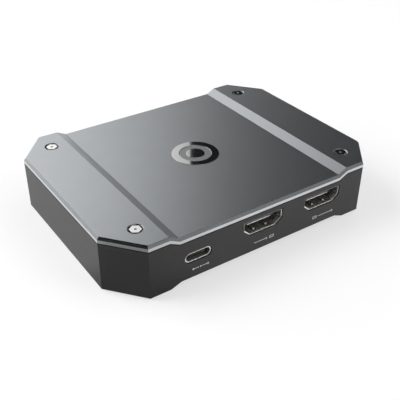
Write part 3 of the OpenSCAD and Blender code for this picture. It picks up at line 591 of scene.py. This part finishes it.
# Grey levels by compass angle, from +Y towards +X, of the cards round the object that its metal mirrors
WALL_LEVELS = [(24.5, 0.012), (75, 0.012), (110, 0.12), (135, 0.26), (155, 0.26), (165, 0.6), (212, 0.6),
               (228, 0.01), (275, 0.01), (300, 0.45), (324, 0.58), (345, 1.16), (369, 1.16), (377, 1.0),
               (384.5, 0.012)]
# The share of the wall's level by height angle
CEILING_LEVELS = [(0, 1.0), (46, 1.0), (60, 0.1), (90, 0.05)]
# Smaller cards before the walls: levels by compass angle, and lowest and highest height angle
SMALL_CARDS = [
    ("studio_strip", [(15, 1.18), (22, 1.08), (28.5, 0.88), (33.3, 0.54)], (20, 42)),
    ("studio_skirt", [(34, 0.8), (41, 0.44), (50, 0.18), (75, 0.06)], (0, 17)),
    ("studio_side", [(300, 1.0), (335, 1.0)], (24, 42)),
    ("studio_left", [(228, 0.05), (238, 0.35), (290, 0.35), (298, 0.45)], (8, 34)),
    ("studio_ceiling", [(0, 0.45), (360, 0.45)], (72, 90)),
]
# Cards on the floor: levels by compass angle, and nearest and farthest distance
FLOOR_CARDS = [
    ("front_card", [(190, 0.85), (206, 0.75), (222, 0.28), (243, 0.28), (256, 0.9)], (0.03, 0.3)),
    ("right_card", [(55, 0.6), (64, 0.05), (110, 0.05)], (0.07, 1.2)),
]
WALL_RADIUS, SMALL_RADIUS = 2.5, 2.4
WALL_FOOT = 8
WALL_STEP, CARD_STEP = 5, 3
CARD_Z = 0.3 * MM


def level_at(levels, angle):
    """The level at an angle, on straight lines between the listed ones."""
    for (a, low), (b, high) in zip(levels, levels[1:]):
        if a <= angle <= b:
            return low + (high - low) * (angle - a) / (b - a)


def steps(levels, most):
    """The listed angles with more between them, at most this far apart."""
    angles = []
    for (a, _), (b, _) in zip(levels, levels[1:]):
        count = math.ceil((b - a) / most)
        angles += [a + (b - a) * i / count for i in range(count)]
    return angles + [levels[-1][0]]


def around(compass, radius, z):
    turn = math.radians(compass)
    return (radius * math.sin(turn), radius * math.cos(turn), z)


def aloft(compass, rise, radius):
    """A point at a compass angle and a height angle, at a distance from the object."""
    return around(compass, radius * math.cos(math.radians(rise)), radius * math.sin(math.radians(rise)))


def glowing(thing, levels):
    """Gives a card its grey levels, for mirrored rays only."""
    level = thing.data.attributes.new("level", "FLOAT", "POINT")
    level.data.foreach_set("value", levels)
    material = bpy.data.materials.new(thing.name)
    material.use_nodes = True
    tree = material.node_tree
    tree.nodes.clear()
    glow = tree.nodes.new("ShaderNodeEmission")
    grey = tree.nodes.new("ShaderNodeAttribute")
    grey.attribute_name = "level"
    tree.links.new(grey.outputs["Fac"], glow.inputs["Color"])
    tree.links.new(glow.outputs[0], tree.nodes.new("ShaderNodeOutputMaterial").inputs["Surface"])
    thing.data.materials.append(material)
    thing.visible_camera = False
    thing.visible_diffuse = False
    thing.visible_transmission = False
    thing.visible_shadow = False


def studio_cards():
    """Cards round and over the object, smaller ones before them, and two on the floor."""
    compass = steps(WALL_LEVELS, WALL_STEP)
    rises = [rise for rise in steps(CEILING_LEVELS, WALL_STEP) if rise >= WALL_FOOT]
    walls = grid_mesh("studio_walls", [[aloft(a, rise, WALL_RADIUS) for a in compass] for rise in rises])
    across = [level_at(WALL_LEVELS, a) for a in compass]
    glowing(walls, [level * level_at(CEILING_LEVELS, rise) for rise in rises for level in across])
    for name, levels, ends in SMALL_CARDS:
        compass = steps(levels, CARD_STEP)
        card = grid_mesh(name, [[aloft(a, rise, SMALL_RADIUS) for a in compass] for rise in ends])
        glowing(card, [level_at(levels, a) for a in compass] * 2)
    for name, levels, ends in FLOOR_CARDS:
        compass = steps(levels, CARD_STEP)
        card = grid_mesh(name, [[around(a, radius, CARD_Z) for a in compass] for radius in ends])
        glowing(card, [level_at(levels, a) for a in compass] * 2)


studio_cards()


# World and lamps

AMBIENT = 0.2


def world():
    """White to the camera, in mirrors and through clear plastic, and a low even light on everything."""
    made = bpy.data.worlds.new("studio")
    bpy.context.scene.world = made
    made.use_nodes = True
    tree = made.node_tree
    tree.nodes.clear()
    skies = []
    for strength in (AMBIENT, 1.0):
        sky = tree.nodes.new("ShaderNodeBackground")
        sky.inputs["Color"].default_value = (1, 1, 1, 1)
        sky.inputs["Strength"].default_value = strength
        skies.append(sky.outputs[0])
    seen = either(tree, SEEN_RAYS)
    mix_shaders(tree, seen, *skies, tree.nodes.new("ShaderNodeOutputWorld").inputs["Surface"])


world()


def lamp(name, compass, rise, distance, size, power):
    """A softbox that faces the object from a compass angle, from +Y towards +X, and a height angle."""
    light = bpy.data.lights.new(name, "AREA")
    light.shape = "SQUARE"
    light.size = size
    light.energy = power
    holder = bpy.data.objects.new(name, light)
    bpy.context.scene.collection.objects.link(holder)
    out = Vector(around(compass, math.cos(math.radians(rise)), math.sin(math.radians(rise))))
    holder.location = out * distance
    holder.rotation_euler = out.to_track_quat("Z", "Y").to_euler()
    holder.visible_glossy = False


lamp("key", compass=-48, rise=34, distance=1.2, size=1.0, power=20.3)
lamp("front_fill", compass=135, rise=35, distance=1.5, size=0.9, power=9)
lamp("right_fill", compass=70, rise=62, distance=1.5, size=0.9, power=4)


# Camera at the photograph's viewpoint

EYE = Vector((-109.16, -162.74, 127.91)) * MM
COMPASS, DOWN, ROLL = math.radians(34.334), math.radians(33.444), math.radians(0.244)
SENSOR, LENS = 36, 60.11
NEAR = 10 * MM

camera = bpy.data.cameras.new("camera")
camera.sensor_width = SENSOR
camera.lens = LENS
camera.clip_start = NEAR
eye = bpy.data.objects.new("camera", camera)
bpy.context.scene.collection.objects.link(eye)
ahead = Vector((math.sin(COMPASS) * math.cos(DOWN), math.cos(COMPASS) * math.cos(DOWN), -math.sin(DOWN)))
level_right = ahead.cross(Vector((0, 0, 1))).normalized()
level_up = level_right.cross(ahead)
right = level_right * math.cos(ROLL) + level_up * math.sin(ROLL)
up = level_up * math.cos(ROLL) - level_right * math.sin(ROLL)
eye.matrix_world = Matrix((
    (right.x, up.x, -ahead.x, EYE.x),
    (right.y, up.y, -ahead.y, EYE.y),
    (right.z, up.z, -ahead.z, EYE.z),
    (0, 0, 0, 1),
))
bpy.context.scene.camera = eye
bpy.context.scene.view_settings.view_transform = "Standard"
